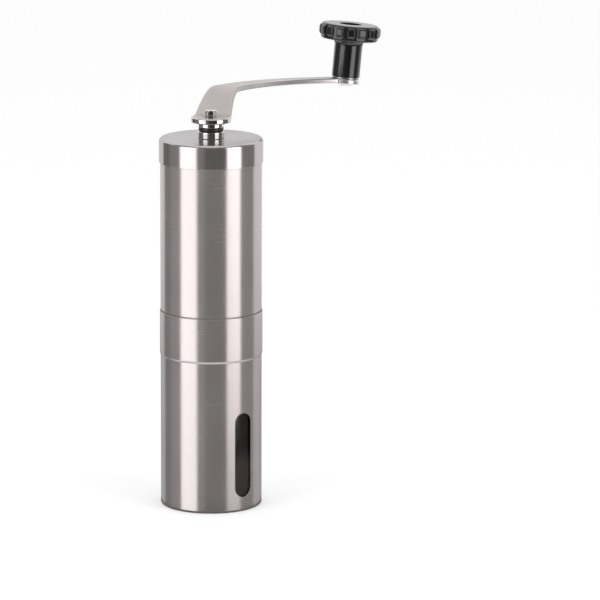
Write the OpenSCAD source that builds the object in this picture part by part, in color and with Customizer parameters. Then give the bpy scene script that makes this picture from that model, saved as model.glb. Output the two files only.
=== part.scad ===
// Slim hand coffee grinder. A steel hopper tube plugs into a steel grounds canister,
// a toothed conical burr pair sits between them, and a sickle-shaped crank turns it.
// Origin: centre of the canister's underside. +Z is up, +X runs from the axis to the knob.

/* [Tubes] */
// Outer diameter of the hopper tube and of the canister
tube_d = 49; // [47:0.5:52]
// Wall of the rolled steel tubes
tube_wall = 0.6; // [0.5:0.05:0.7]
// Height of the lid's top face
body_h = 180; // [165:1:200]
// Height of the seam between the canister and the hopper
seam_h = 96; // [90:1:104]
// Length of the hopper's spigot inside the canister
spigot_len = 19.5; // [17:0.5:22]
// Radial step from the hopper tube in to its spigot
neck_step = 0.35; // [0.3:0.05:0.5]
// Radial clearance of the spigot in the canister's socket
socket_play = 0.1; // [0.06:0.02:0.14]
// Height of the step from the canister's tube out to its socket
joggle_h = 1; // [0.8:0.1:1.6]
// Thickness of the canister's closed bottom
floor_t = 0.8; // [0.6:0.1:1.2]
// Outer radius of the canister's bottom edge
base_edge_r = 1.2; // [1:0.1:1.6]

/* [Window] */
// Width of the slot that shows the grounds
window_w = 9.6; // [7:0.2:12]
// Length of the slot, end to end
window_h = 41.5; // [30:0.5:48]
// Height of the slot's low end above the surface
window_sill = 7.2; // [5:0.2:10]
// Direction that the slot faces, turned from the crank
window_turn = -106; // [-180:1:180]
// Wall of the clear cup behind the slot
liner_wall = 1.2; // [0.9:0.1:1.6]
// Radial clearance of the clear cup in the canister
liner_play = 0.15; // [0.1:0.05:0.25]

/* [Lid] */
// Wall of the pressed steel lid
lid_wall = 0.5; // [0.4:0.05:0.6]
// Height of the lid's skirt
lid_skirt = 11.5; // [9:0.5:15]
// Outer radius of the lid's top edge
lid_edge_r = 1.5; // [1.3:0.1:2]
// Radial clearance of the lid over the hopper tube
lid_play = 0.1; // [0.06:0.02:0.14]
// Diameter of the chrome bush on the lid
bush_d = 12.7; // [11:0.1:14]
// Height of the chrome bush above the lid
bush_h = 3.3; // [3:0.1:5]
// Diameter of the bush's shank where it passes the lid
bush_shank_d = 9; // [8:0.1:9.6]
// Diameter of the steel ring that the bush is riveted over, under the lid
rivet_ring_d = 16; // [13:0.5:18]
// Thickness of that ring
rivet_ring_t = 1; // [0.8:0.1:1.4]
// Diameter of the black washer between the lid and the crank
hub_washer_d = 12.1; // [11:0.1:13]
// Thickness of the black washer
hub_washer_t = 1.9; // [1.4:0.1:2.4]

/* [Crank] */
// Straight distance from the grinder's axis to the knob
arm_reach = 118; // [105:1:130]
// How far the arm bows sideways from that straight line
arm_bow = 14.8; // [10:0.2:20]
// Thickness of the steel strip
arm_t = 2.6; // [2.2:0.1:3]
// Diameter of the strip's round end at the axis
arm_hub_d = 19.6; // [18:0.2:22]
// Width of the strip at the knob
arm_tip_w = 7.8; // [7:0.2:10]
// Diameter of the strip's round end under the knob
arm_boss_d = 14.2; // [13:0.2:16]
// Length of the flat plate from the axis to the start of the bend
bend_start = 5.8; // [5.2:0.2:9]
// Length of strip in the double bend
bend_len = 25; // [20:0.5:28]
// Height gained in the double bend
arm_rise = 9.9; // [8:0.1:12]
// Height lost from the top of the bend to the knob's plate
arm_droop = 6; // [4:0.2:7]
// Outward lean of the knob's axis in degrees
knob_lean = 5.8; // [4:0.1:8]
// Diameter of the chrome ring under the arm
hub_ring_d = 12.7; // [11:0.1:14]
// Height of the chrome ring under the arm
hub_ring_h = 2.3; // [1.8:0.1:3]
// Diameter of the ring's shank, riveted flush into the arm
hub_shank_d = 8.4; // [7.6:0.1:9]

/* [Knob] */
// Diameter of the knob over its ribs
knob_d = 30.6; // [28:0.2:34]
// Height of the whole knob
knob_h = 26.4; // [24:0.2:30]
// Height of the knob's head
head_h = 7.8; // [6.5:0.1:9]
// Diameter of the knob's stem
stem_d = 14; // [13:0.2:15]
// Number of ribs round the head
rib_count = 16; // [12:1:20]
// Width of one rib
rib_w = 3.9; // [3:0.1:4.4]
// Height of the ribs above the valleys
rib_rise = 1; // [0.7:0.1:1.4]
// Diameter of the well in the knob's face
well_d = 11; // [9.8:0.1:12]
// Depth of that well
well_depth = 12; // [9:0.5:14]
// Diameter of the pin that the knob turns on
pin_d = 5; // [4.4:0.1:5.4]
// Diameter of the pin's head inside the well
pin_head_d = 8.8; // [8:0.1:9.4]
// Thickness of the washer under the knob
knob_washer_t = 0.6; // [0.4:0.1:1]

/* [Drive] */
// Diameter of the drive shaft
shaft_d = 6; // [5.9:0.1:6.3]
// Width across flats of the shaft's two hexagonal stretches
hex_af = 5; // [4.8:0.1:5.1]
// Clearance of each hexagonal socket, on each side
hex_play = 0.06; // [0.04:0.01:0.08]
// Radial clearance of every running bore
run_play = 0.05; // [0.03:0.01:0.08]
// How far the shaft stands out of the arm
shaft_stand = 3.4; // [2.5:0.1:5]
// Diameter of the thread at the shaft's lower end
thread_d = 4.8; // [4.4:0.1:4.9]
// Outer diameter of the bracket's hub
bracket_hub_d = 13; // [12:0.2:15]
// Height of the bracket's hub
bracket_hub_h = 11; // [9:0.5:14]
// Width of each of the bracket's arms
bracket_arm_w = 4; // [3:0.2:5]
// Height of the bracket's arms and collar
bracket_arm_h = 5; // [4:0.2:7]
// Wall of the bracket's collar
collar_wall = 1.8; // [1.4:0.1:2.4]
// Outer diameter of the bracket's bearing
bearing_d = 8.8; // [8.4:0.1:9.4]
// Diameter of the spring's coils, wire centre to wire centre
spring_d = 8.4; // [8:0.1:8.8]
// Diameter of the spring's wire
spring_wire = 0.9; // [0.7:0.05:1]
// Number of turns in the spring
spring_turns = 4; // [3:0.5:4]

/* [Burrs] */
// Distance from the outside of the tube to the ring burr
ring_burr_inset = 5.5; // [5:0.1:6.5]
// Height of the ring burr
ring_burr_h = 11.5; // [10.5:0.5:13]
// Height of the cone burr
cone_burr_h = 15; // [13.5:0.5:16]
// Wall of the ring burr beyond the cone burr's grinding rim
ring_burr_wall = 3.8; // [3.4:0.1:4.6]
// Radial gap between the two burrs at a medium grind
grind_gap = 0.45; // [0.36:0.03:0.6]
// Height of the finely toothed zone
fine_zone_h = 3.4; // [2.8:0.2:4]
// Depth of the fine teeth
fine_depth = 0.7; // [0.4:0.1:0.9]
// Number of fine teeth, a multiple of both sets of ridges
fine_teeth = 40; // [40]
// Number of breaking ridges on the cone burr
cone_ridges = 8; // [4, 5, 8, 10]
// Number of breaking ridges in the ring burr
ring_ridges = 10; // [4, 5, 8, 10]
// Depth of the breaking ridges
ridge_depth = 2; // [1.2:0.1:2.4]
// Turn of the ridges in degrees over the cone burr's height
ridge_turn = 84; // [40:2:120]
// Height of the plastic burr housing
housing_h = 26; // [24:0.5:30]
// Thickness of the housing's flange under the spigot
flange_t = 1.2; // [0.9:0.1:1.6]
// Width of the lip over the ring burr, round the hole where the beans fall in
throat_lip = 5; // [4:0.1:5.4]
// Clearance of parts pressed or dropped into a seat
seat_play = 0.05; // [0.03:0.01:0.07]

/* [Adjuster] */
// Outer diameter of the adjusting nut over its lobes
nut_d = 21; // [18:0.5:26]
// Height of the adjusting nut
nut_h = 6; // [5:0.2:8]
// Number of lobes on the nut
nut_lobes = 6; // [5:1:9]
// Travel of the cone burr up to the finest grind
lift_fine = 0.6; // [0.3:0.1:0.6]
// Travel of the cone burr down to the coarsest grind
lift_coarse = 0.8; // [0.6:0.1:1.2]

/* [Hidden] */
$fn = 96;

// One overrun serves every cut
over = 1;
// Edge break of turned and moulded parts
edge_break = 0.4;

// Tubes
tube_r = tube_d / 2;
bore_r = tube_r - tube_wall;
spigot_r = tube_r - neck_step;
spigot_bore_r = spigot_r - tube_wall;
socket_bore_r = spigot_r + socket_play;
socket_r = socket_bore_r + tube_wall;
seam_gap = 0.3;
rim_z = seam_h - seam_gap / 2;
shoulder_z = seam_h + seam_gap / 2;
spigot_z = seam_h - spigot_len;
housing_z = spigot_z - flange_t;
joggle_top = housing_z - seam_gap;
joggle_z = joggle_top - joggle_h;
hopper_top = body_h - lid_edge_r;
rim_round = tube_wall * 0.45;

// Clear cup
liner_r = bore_r - liner_play;
liner_edge_r = base_edge_r;
liner_gap_top = 1;
liner_top = joggle_z - liner_gap_top;

// Lid and what stands on it
lid_bore_r = tube_r + lid_play;
lid_r = lid_bore_r + lid_wall;
bush_top = body_h + bush_h;
hub_washer_z = bush_top + seat_play;
crank_z = hub_washer_z + hub_washer_t + seat_play;
arm_z = crank_z + hub_ring_h;
arm_top = arm_z + arm_t;
shaft_top = arm_top + shaft_stand;
shaft_bore_r = shaft_d / 2 + run_play;

// Crank arm: a circular bow in plan, a double bend and a gentle fall in height
arm_arc_r = (arm_reach * arm_reach / 4 + arm_bow * arm_bow) / (2 * arm_bow);
arm_half = asin(arm_reach / 2 / arm_arc_r);
arm_len = 2 * arm_half * PI / 180 * arm_arc_r;
arm_hub_r = arm_hub_d / 2;
arm_boss_r = arm_boss_d / 2;
arm_taper_share = 2.7;
low_curve_share = 0.12;
top_curve_share = 0.46;
arm_corner = arm_t * 0.18;
boss_start = arm_len - arm_boss_r;
crest = bend_start + bend_len;
hub_shank_r = hub_shank_d / 2;
knob_base_z = arm_z + arm_t / 2 + arm_rise - arm_droop - tan(knob_lean) * arm_boss_r;

// Knob, in its own frame with its base at zero
knob_r = knob_d / 2;
stem_r = stem_d / 2;
core_r = knob_r - rib_rise;
head_z = knob_h - head_h;
head_edge = 1.1;
stem_fillet = 2.8;
rib_corner = rib_rise * 0.6;
rib_end_gap = 0.7;
well_floor = knob_h - well_depth;
pin_r = pin_d / 2;
pin_head_t = 2;
pin_tail_t = 1.3;
pin_tail_d = pin_head_d;
knob_run = 0.1;
knob_lift = arm_t / 2 + knob_washer_t + 2 * knob_run;

// Burrs and housing
clip_t = 1;
clip_land = 0.6;
clip_bite = 0.6;
clip_slot_turn = 22;
ring_r = tube_r - ring_burr_inset;
grind_r = ring_r - ring_burr_wall;
throat_r = ring_r - throat_lip;
pocket_r = ring_r + 2 * seat_play;
clip_z = housing_z + clip_land;
ring_z = clip_z + clip_t + seat_play;
pocket_top = ring_z + ring_burr_h + seat_play;
housing_top = housing_z + housing_h;
lip_t = 1.6;
housing_r = spigot_bore_r - 2 * seat_play;
rim_land = 0.8;
cone_drop = 0.4;
cone_z = ring_z - cone_drop;
cone_top = cone_z + cone_burr_h;
fine_slope_share = 0.4;
cone_neck_r = 8.04;
cone_slope = (grind_r - fine_slope_share * fine_zone_h - cone_neck_r) / (cone_burr_h - fine_zone_h);
ring_slope_share = 0.1;
rim_break = 0.35;
carrier_boss_r = 5;
carrier_inset = 3.2;
carrier_flange_r = grind_r - carrier_inset;
carrier_flange_t = 3;
carrier_z = cone_z - seat_play - carrier_flange_t;
boss_rise = 0.4;
carrier_top = cone_top + boss_rise;
key_w = 2.8;
key_h = 1.3;
key_inset = 1.6;
key_reach = carrier_flange_r - key_inset;
key_count = 3;
plate_t = 0.6;
plate_r = 9;
plate_notch_r = 0.8;
plate_notches = 12;
plate_z = carrier_z - seat_play - plate_t;
nut_top = plate_z - seat_play;
nut_z = nut_top - nut_h;
nut_skirt_h = 1.6;
thread_tail = 1.2;
shaft_bottom = nut_z - lift_coarse - thread_tail;
hex_low_z = nut_top + lift_fine + edge_break + 3 * seat_play;
hex_mid_z = carrier_top + lift_fine + edge_break;
hex_up_z = bush_top + 2 * seat_play;

// Bracket and bearing
bracket_z = housing_top + seat_play;
collar_r = housing_r;
hub_drop = 1.8;
hub_z = bracket_z - hub_drop;
hub_top = hub_z + bracket_hub_h;
bracket_arms = 3;
bearing_flange_t = 1;
bearing_flange_d = bracket_hub_d - 2 * edge_break;
washer_t = 0.5;
washer_d = 10.4;
washer_z = hub_top + bearing_flange_t + 2 * seat_play;
circlip_z = washer_z + washer_t + seat_play;
circlip_t = 0.8;
circlip_d = 10;
circlip_groove = 0.55;
circlip_gap = 3.4;

// Spring between the bearing and the carrier
spring_seat_gap = 0.3;
spring_z = carrier_top + spring_seat_gap + spring_wire / 2;
spring_end = hub_z - spring_seat_gap - spring_wire / 2;
spring_steps = 8;
spring_sides = 6;

function clamp(v, low, high) = min(max(v, low), high);
function smooth(t) = let (c = clamp(t, 0, 1)) c * c * (3 - 2 * c);
function arc(centre, r, from, to, steps = 6) =
    [for (i = [0:steps])
        let (a = from + (to - from) * i / steps)
        [centre[0] + r * cos(a), centre[1] + r * sin(a)]];

module ring(outer, inner, height) {
    difference() {
        cylinder(r = outer, h = height);
        translate([0, 0, -over]) cylinder(r = inner, h = height + 2 * over);
    }
}

module hex_hole(af, height) {
    cylinder(r = af / 2 / cos(30), h = height, $fn = 6);
}

// A turned disc with both edges broken
module turned(r, height, edge) {
    rotate_extrude()
        polygon([
            [0, 0], [r - edge, 0], [r, edge],
            [r, height - edge], [r - edge, height], [0, height]
        ]);
}

// Canister
module window_cut() {
    half = window_w / 2;
    rotate([0, 0, window_turn])
        translate([tube_r - window_w / 2, 0, window_sill + half])
            rotate([90, 0, 90])
                linear_extrude(height = window_w) {
                    circle(r = half);
                    translate([0, window_h - window_w]) circle(r = half);
                    translate([-half, 0]) square([window_w, window_h - window_w]);
                }
}

module canister_profile() {
    inner_edge_r = base_edge_r - tube_wall;
    polygon(concat(
        [[0, 0]],
        arc([tube_r - base_edge_r, base_edge_r], base_edge_r, -90, 0),
        [[tube_r, joggle_z], [socket_r, joggle_top]],
        arc([socket_r - rim_round, rim_z - rim_round], rim_round, 0, 90, 4),
        [[socket_bore_r, rim_z], [socket_bore_r, joggle_top], [bore_r, joggle_z]],
        arc([bore_r - inner_edge_r, floor_t + inner_edge_r], inner_edge_r, 0, -90, 4),
        [[0, floor_t]]
    ));
}

module canister_shell() color([0.74, 0.72, 0.71]) {
    difference() {
        rotate_extrude() canister_profile();
        window_cut();
    }
}

module window_liner() color([0.32, 0.28, 0.25]) {
    inner_r = liner_r - liner_wall;
    inner_edge_r = liner_edge_r - liner_wall / 2;
    base = floor_t + seat_play;
    rotate_extrude()
        polygon(concat(
            [[0, base]],
            arc([liner_r - liner_edge_r, base + liner_edge_r], liner_edge_r, -90, 0),
            [[liner_r, liner_top], [inner_r, liner_top]],
            arc([inner_r - inner_edge_r, base + liner_wall + inner_edge_r], inner_edge_r, 0, -90, 4),
            [[0, base + liner_wall]]
        ));
}

// Hopper
module hopper_tube() color([0.74, 0.72, 0.71]) {
    rotate_extrude()
        polygon(concat(
            [
                [spigot_bore_r, spigot_z], [spigot_r - rim_round, spigot_z],
                [spigot_r, spigot_z + rim_round], [spigot_r, shoulder_z],
                [tube_r, shoulder_z + neck_step]
            ],
            arc([tube_r - rim_round, hopper_top - rim_round], rim_round, 0, 90, 4),
            [
                [bore_r, hopper_top], [bore_r, shoulder_z + neck_step + tube_wall],
                [spigot_bore_r, shoulder_z + tube_wall]
            ]
        ));
}

module burr_housing() color([0.1, 0.1, 0.1]) {
    groove_r = pocket_r + clip_bite;
    difference() {
        rotate_extrude()
            polygon([
                [pocket_r, housing_z], [spigot_r - rim_round, housing_z],
                [spigot_r, housing_z + rim_round], [spigot_r, spigot_z - seat_play],
                [housing_r, spigot_z - seat_play], [housing_r, housing_top],
                [housing_r - rim_land, housing_top], [throat_r, pocket_top + lip_t],
                [throat_r, pocket_top], [pocket_r, pocket_top]
            ]);
        translate([0, 0, clip_z - seat_play])
            ring(groove_r, pocket_r - over, clip_t + 2 * seat_play);
    }
}

// Split spring clip that holds the ring burr in its pocket
module ring_burr_clip() color([0.7, 0.7, 0.7]) {
    outer = pocket_r + clip_bite - seat_play;
    inner = ring_r - 2 * clip_bite;
    translate([0, 0, clip_z])
        rotate([0, 0, clip_slot_turn / 2])
            rotate_extrude(angle = 360 - clip_slot_turn)
                translate([inner, 0]) square([outer - inner, clip_t]);
}

// Burrs. Heights run from the cone burr's underside.
function cone_env(h) =
    h < fine_zone_h
        ? grind_r - fine_slope_share * h
        : grind_r - fine_slope_share * fine_zone_h - cone_slope * (h - fine_zone_h);
function ring_env(h) =
    h < fine_zone_h
        ? grind_r + grind_gap - fine_slope_share * h
        : grind_r + grind_gap - fine_slope_share * fine_zone_h - ring_slope_share * (h - fine_zone_h);

// Share of the tooth depth at one of the columns of points round a burr
samples = fine_teeth * 3;
function fine_wave(i) = [0, 1, 0.45][i % 3];
function ridge_wave(i, ridges) = let (n = samples / ridges) (i % n) / (n - 1);
function coarse_share(h) = smooth((h - fine_zone_h) / fine_zone_h);
function bite(i, h, ridges) =
    fine_depth * fine_wave(i) * (1 - coarse_share(h))
    + ridge_depth * ridge_wave(i, ridges) * coarse_share(h);

function burr_ring_points(r_at, h, turn) =
    [for (i = [0:samples - 1])
        let (a = 360 * i / samples + turn * h / cone_burr_h)
        [r_at[i] * cos(a), r_at[i] * sin(a), h]];

// A closed skin over stacked rings of points
module loft(rings) {
    n = len(rings[0]);
    levels = len(rings);
    sides = [for (k = [0:levels - 2], i = [0:n - 1], half = [0, 1])
        let (j = (i + 1) % n)
        half == 0
            ? [k * n + i, (k + 1) * n + j, k * n + j]
            : [k * n + i, (k + 1) * n + i, (k + 1) * n + j]];
    bottom = [for (i = [0:n - 1]) i];
    top = [for (i = [n - 1:-1:0]) (levels - 1) * n + i];
    polyhedron(
        points = [for (r = rings) each r],
        faces = concat([bottom], sides, [top]),
        convexity = 8
    );
}

fine_level_shares = [0, 0.12, 0.55, 1];
ridge_level_shares = [0.14, 0.3, 0.5, 0.7, 0.88];
cone_levels = concat(
    [for (s = fine_level_shares) s * fine_zone_h],
    [for (s = ridge_level_shares) fine_zone_h + s * (cone_burr_h - fine_zone_h)]
);
ring_levels = concat(
    [for (s = [0, 0.5, 1]) s * fine_zone_h],
    [for (s = [0.3, 0.65]) fine_zone_h + s * (ring_burr_h - fine_zone_h)],
    [cone_drop + ring_burr_h + over]
);

// The ridges run out onto a plain round neck at the cone burr's top
module cone_burr() color([0.93, 0.92, 0.89]) {
    hole_r = carrier_boss_r + 2 * seat_play;
    slot_w = key_w + 4 * seat_play;
    neck_r = cone_env(cone_burr_h) - ridge_depth;
    neck = burr_ring_points([for (i = [0:samples - 1]) neck_r], cone_burr_h, ridge_turn);
    rings = [for (h = cone_levels)
        let (trim = h == 0 ? rim_break : 0)
        burr_ring_points([for (i = [0:samples - 1]) cone_env(h) - trim - bite(i, h, cone_ridges)],
            h, ridge_turn)];
    translate([0, 0, cone_z])
        difference() {
            loft(concat(rings, [neck]));
            translate([0, 0, -over]) cylinder(r = hole_r, h = cone_burr_h + 2 * over);
            for (k = [0:key_count - 1])
                rotate([0, 0, 360 * k / key_count])
                    translate([0, -slot_w / 2, -over])
                        cube([key_reach + 2 * seat_play, slot_w, over + key_h + 2 * seat_play]);
        }
}

module ring_burr() color([0.93, 0.92, 0.89]) {
    rings = [for (h = ring_levels)
        burr_ring_points([for (i = [0:samples - 1]) ring_env(h) + bite(i, h, ring_ridges)],
            h, -ridge_turn)];
    translate([0, 0, ring_z])
        difference() {
            cylinder(r = ring_r, h = ring_burr_h);
            translate([0, 0, -cone_drop]) loft(rings);
        }
}

module burr_carrier() color([0.12, 0.12, 0.12]) {
    difference() {
        union() {
            translate([0, 0, carrier_z]) turned(carrier_flange_r, carrier_flange_t, edge_break);
            translate([0, 0, carrier_z])
                cylinder(r = carrier_boss_r, h = carrier_top - carrier_z);
            for (k = [0:key_count - 1])
                rotate([0, 0, 360 * k / key_count])
                    translate([0, -key_w / 2, carrier_z])
                        cube([key_reach, key_w, carrier_flange_t + key_h]);
        }
        translate([0, 0, carrier_z - over])
            hex_hole(hex_af + 2 * hex_play, carrier_top - carrier_z + 2 * over);
    }
}

module click_plate() color([0.75, 0.74, 0.72]) {
    translate([0, 0, plate_z])
        difference() {
            cylinder(r = plate_r, h = plate_t);
            translate([0, 0, -over]) hex_hole(hex_af + 2 * hex_play, plate_t + 2 * over);
            for (k = [0:plate_notches - 1])
                rotate([0, 0, 360 * k / plate_notches])
                    translate([plate_r, 0, -over])
                        cylinder(r = plate_notch_r, h = plate_t + 2 * over, $fn = 24);
        }
}

module adjusting_nut() color([0.12, 0.12, 0.12]) {
    lobe_r = nut_d / 9;
    lobe_at = nut_d / 2 - lobe_r;
    translate([0, 0, nut_z])
        difference() {
            union() {
                linear_extrude(height = nut_h - nut_skirt_h) {
                    circle(r = lobe_at);
                    for (k = [0:nut_lobes - 1])
                        rotate(360 * k / nut_lobes) translate([lobe_at, 0]) circle(r = lobe_r, $fn = 32);
                }
                cylinder(r = plate_r - plate_notch_r, h = nut_h);
            }
            translate([0, 0, -over])
                cylinder(r = thread_d / 2 + run_play, h = nut_h + 2 * over);
        }
}

// Bracket and shaft
module shaft_bracket() color([0.13, 0.13, 0.13]) {
    difference() {
        union() {
            translate([0, 0, hub_z]) cylinder(r = bracket_hub_d / 2, h = bracket_hub_h);
            translate([0, 0, bracket_z]) ring(collar_r, collar_r - collar_wall, bracket_arm_h);
            for (k = [0:bracket_arms - 1])
                rotate([0, 0, 360 * k / bracket_arms])
                    translate([0, -bracket_arm_w / 2, bracket_z])
                        cube([collar_r - collar_wall / 2, bracket_arm_w, bracket_arm_h]);
        }
        translate([0, 0, hub_z - over])
            cylinder(r = bearing_d / 2 + seat_play, h = bracket_hub_h + 2 * over);
    }
}

module bracket_bearing() color([0.9, 0.89, 0.85]) {
    difference() {
        union() {
            translate([0, 0, hub_z]) cylinder(r = bearing_d / 2, h = bracket_hub_h + bearing_flange_t);
            translate([0, 0, hub_top + seat_play])
                cylinder(r = bearing_flange_d / 2, h = bearing_flange_t);
        }
        translate([0, 0, hub_z - over])
            cylinder(r = shaft_bore_r, h = bracket_hub_h + bearing_flange_t + 2 * over);
    }
}

module drive_shaft() color([0.8, 0.8, 0.8]) {
    corner_r = hex_af / 2 / cos(30);
    groove_r = shaft_d / 2 - circlip_groove;
    top_h = shaft_top - hex_up_z + edge_break;
    difference() {
        union() {
            translate([0, 0, shaft_bottom]) turned(thread_d / 2, hex_low_z - shaft_bottom, edge_break);
            translate([0, 0, hex_low_z - edge_break])
                hex_hole(hex_af, hex_mid_z - hex_low_z + 2 * edge_break);
            translate([0, 0, hex_mid_z]) cylinder(r = shaft_d / 2, h = hex_up_z - hex_mid_z);
            translate([0, 0, hex_up_z - edge_break])
                intersection() {
                    hex_hole(hex_af, top_h);
                    rotate_extrude()
                        polygon([
                            [0, 0], [corner_r, 0], [corner_r, top_h - 2 * edge_break],
                            [corner_r - 3 * edge_break, top_h], [0, top_h]
                        ]);
                }
        }
        translate([0, 0, circlip_z - seat_play])
            ring(shaft_d / 2 + over, groove_r, circlip_t + 2 * seat_play);
    }
}

module shaft_circlip() color([0.75, 0.75, 0.75]) {
    translate([0, 0, circlip_z])
        difference() {
            ring(circlip_d / 2, shaft_d / 2 - circlip_groove + seat_play, circlip_t);
            translate([0, -circlip_gap / 2, -over])
                cube([circlip_d, circlip_gap, circlip_t + 2 * over]);
        }
}

module thrust_washer() color([0.72, 0.72, 0.72]) {
    translate([0, 0, washer_z]) ring(washer_d / 2, shaft_bore_r, washer_t);
}

// Points along the spring's wire, and its least gap to itself
spring_pitch = (spring_end - spring_z) / spring_turns;
spring_points = [for (i = [0:spring_turns * spring_steps])
    let (a = 360 * i / spring_steps)
    [spring_d / 2 * cos(a), spring_d / 2 * sin(a), spring_z + spring_pitch * i / spring_steps]];
spring_gap = min([for (i = [0:len(spring_points) - 1], j = [i + spring_steps / 2:len(spring_points) - 1])
    norm(spring_points[i] - spring_points[j])]) - spring_wire;

module burr_spring() color([0.7, 0.7, 0.72]) {
    echo(spring_gap_mm = spring_gap);
    slope = atan2(spring_pitch, PI * spring_d);
    rings = [for (i = [0:spring_turns * spring_steps])
        let (a = 360 * i / spring_steps, p = spring_points[i])
        let (out = [cos(a), sin(a), 0], up = [sin(a) * sin(slope), -cos(a) * sin(slope), cos(slope)])
        [for (k = [0:spring_sides - 1])
            let (b = 360 * k / spring_sides)
            p + spring_wire / 2 * (cos(b) * out + sin(b) * up)]];
    loft(rings);
}

// Lid
module lid_cap() color([0.74, 0.72, 0.71]) {
    inner_edge_r = lid_edge_r - lid_wall;
    difference() {
        rotate_extrude()
            polygon(concat(
                [[lid_bore_r, body_h - lid_skirt], [lid_r, body_h - lid_skirt]],
                arc([lid_r - lid_edge_r, body_h - lid_edge_r], lid_edge_r, 0, 90, 8),
                [[0, body_h], [0, body_h - lid_wall]],
                arc([lid_bore_r - inner_edge_r, body_h - lid_edge_r], inner_edge_r, 90, 0, 8)
            ));
        translate([0, 0, body_h - lid_wall - over])
            cylinder(r = bush_shank_d / 2 + seat_play, h = lid_wall + 2 * over);
    }
}

module lid_bush() color([0.85, 0.85, 0.85]) {
    shank = lid_wall + seat_play + rivet_ring_t;
    difference() {
        union() {
            translate([0, 0, body_h + seat_play]) turned(bush_d / 2, bush_h - seat_play, edge_break);
            translate([0, 0, body_h - shank]) cylinder(r = bush_shank_d / 2, h = shank + bush_h / 2);
        }
        translate([0, 0, body_h - shank - over])
            cylinder(r = shaft_bore_r, h = shank + bush_h + 2 * over);
    }
}

module lid_rivet_ring() color([0.75, 0.75, 0.75]) {
    translate([0, 0, body_h - lid_wall - seat_play - rivet_ring_t])
        ring(rivet_ring_d / 2, bush_shank_d / 2 + seat_play, rivet_ring_t);
}

module hub_washer() color([0.06, 0.06, 0.06]) {
    translate([0, 0, hub_washer_z])
        difference() {
            turned(hub_washer_d / 2, hub_washer_t, edge_break / 2);
            translate([0, 0, -over]) cylinder(r = shaft_bore_r, h = hub_washer_t + 2 * over);
        }
}

// Crank arm. s runs along the arm's centre line from the grinder's axis.
function arm_heading(s) = arm_half - clamp(s, 0, arm_len) / arm_arc_r * 180 / PI;
function arm_plan(s) =
    let (a = arm_heading(s), spare = s - clamp(s, 0, arm_len))
    [
        arm_arc_r * (sin(arm_half) - sin(a)) + spare * cos(a),
        arm_arc_r * (cos(a) - cos(arm_half)) + spare * sin(a)
    ];
// Share of the rise: a tight curve, a straight slope and a long curve at the top
function bend_share(t) =
    let (u = clamp(t, 0, 1), steep = 1 / (1 - (low_curve_share + top_curve_share) / 2))
    u < low_curve_share ? steep * u * u / (2 * low_curve_share)
    : u > 1 - top_curve_share ? 1 - steep * (1 - u) * (1 - u) / (2 * top_curve_share)
    : steep * (u - low_curve_share / 2);
function arm_height(s) =
    arm_rise * bend_share((s - bend_start) / bend_len)
    - arm_droop * clamp((s - crest) / (boss_start - crest), 0, 1)
    - tan(knob_lean) * max(s - boss_start, 0);
function strip_half_w(s) =
    (arm_tip_w + (arm_hub_d - arm_tip_w) * pow(1 - clamp(s / arm_len, 0, 1), arm_taper_share)) / 2;
function round_half_w(r, d) = sqrt(max(r * r - d * d, 0));
// The strip runs into the round end under the knob with a small fillet
function arm_half_w(s) =
    s < 0 ? round_half_w(arm_hub_r, s)
    : s > arm_len ? round_half_w(arm_boss_r, s - arm_len)
    : let (
        w = strip_half_w(s),
        b = round_half_w(arm_boss_r, arm_len - s),
        fade = b > w ? sqrt(1 - clamp((s - boss_start) / arm_boss_r, 0, 1)) : 1
    )
        pow(pow(w * fade, 6) + pow(b, 6), 1 / 6);
function arm_section(s) =
    let (
        a = arm_heading(s),
        step = arm_t / 8,
        rise = (arm_height(s + step) - arm_height(s - step)) / (2 * step),
        tip = atan(rise),
        side = [-sin(a), cos(a), 0],
        up = [-sin(tip) * cos(a), -sin(tip) * sin(a), cos(tip)],
        p = arm_plan(s),
        centre = [p[0], p[1], arm_z + arm_t / 2 + arm_height(s)],
        w = max(arm_half_w(s), 2 * arm_corner),
        h = arm_t / 2,
        c = arm_corner,
        right = [[w - c, -h], [w, c - h], [w, h - c], [w - c, h]],
        left = [[c - w, h], [-w, h - c], [-w, c - h], [c - w, -h]]
    )
    [for (q = concat(right, left)) centre + q[0] * side + q[1] * up];

hub_end_angles = [4, 12, 22, 34, 48, 64, 80];
boss_angles = [8, 20, 34, 50, 70, 90, 110, 130, 146, 158, 168, 176];
low_steps = 5;
slope_steps = 3;
top_steps = 10;
low_curve_end = bend_start + bend_len * low_curve_share;
top_curve_start = crest - bend_len * top_curve_share;
strip_steps = 22;
arm_stations = concat(
    [for (a = hub_end_angles) -arm_hub_r * cos(a)],
    [for (i = [0:3]) bend_start * i / 3],
    [for (i = [1:low_steps]) bend_start + (low_curve_end - bend_start) * i / low_steps],
    [for (i = [1:slope_steps]) low_curve_end + (top_curve_start - low_curve_end) * i / slope_steps],
    [for (i = [1:top_steps]) top_curve_start + (crest - top_curve_start) * i / top_steps],
    [for (i = [1:strip_steps - 1]) crest + (boss_start - crest) * i / strip_steps],
    [for (a = boss_angles) arm_len - arm_boss_r * cos(a)]
);

// Everything at the knob stands in this frame, with zero on the strip's mid plane
module at_knob() {
    translate([arm_reach, 0, knob_base_z])
        rotate([0, 0, -arm_half])
            rotate([0, knob_lean, 0])
                children();
}

module crank_arm() color([0.74, 0.72, 0.69]) {
    difference() {
        loft([for (s = arm_stations) arm_section(s)]);
        translate([0, 0, arm_z - over]) cylinder(r = hub_shank_r + seat_play, h = arm_t + 2 * over);
        at_knob() translate([0, 0, -arm_t / 2 - over]) cylinder(r = pin_r + seat_play, h = arm_t + 2 * over);
    }
}

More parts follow.
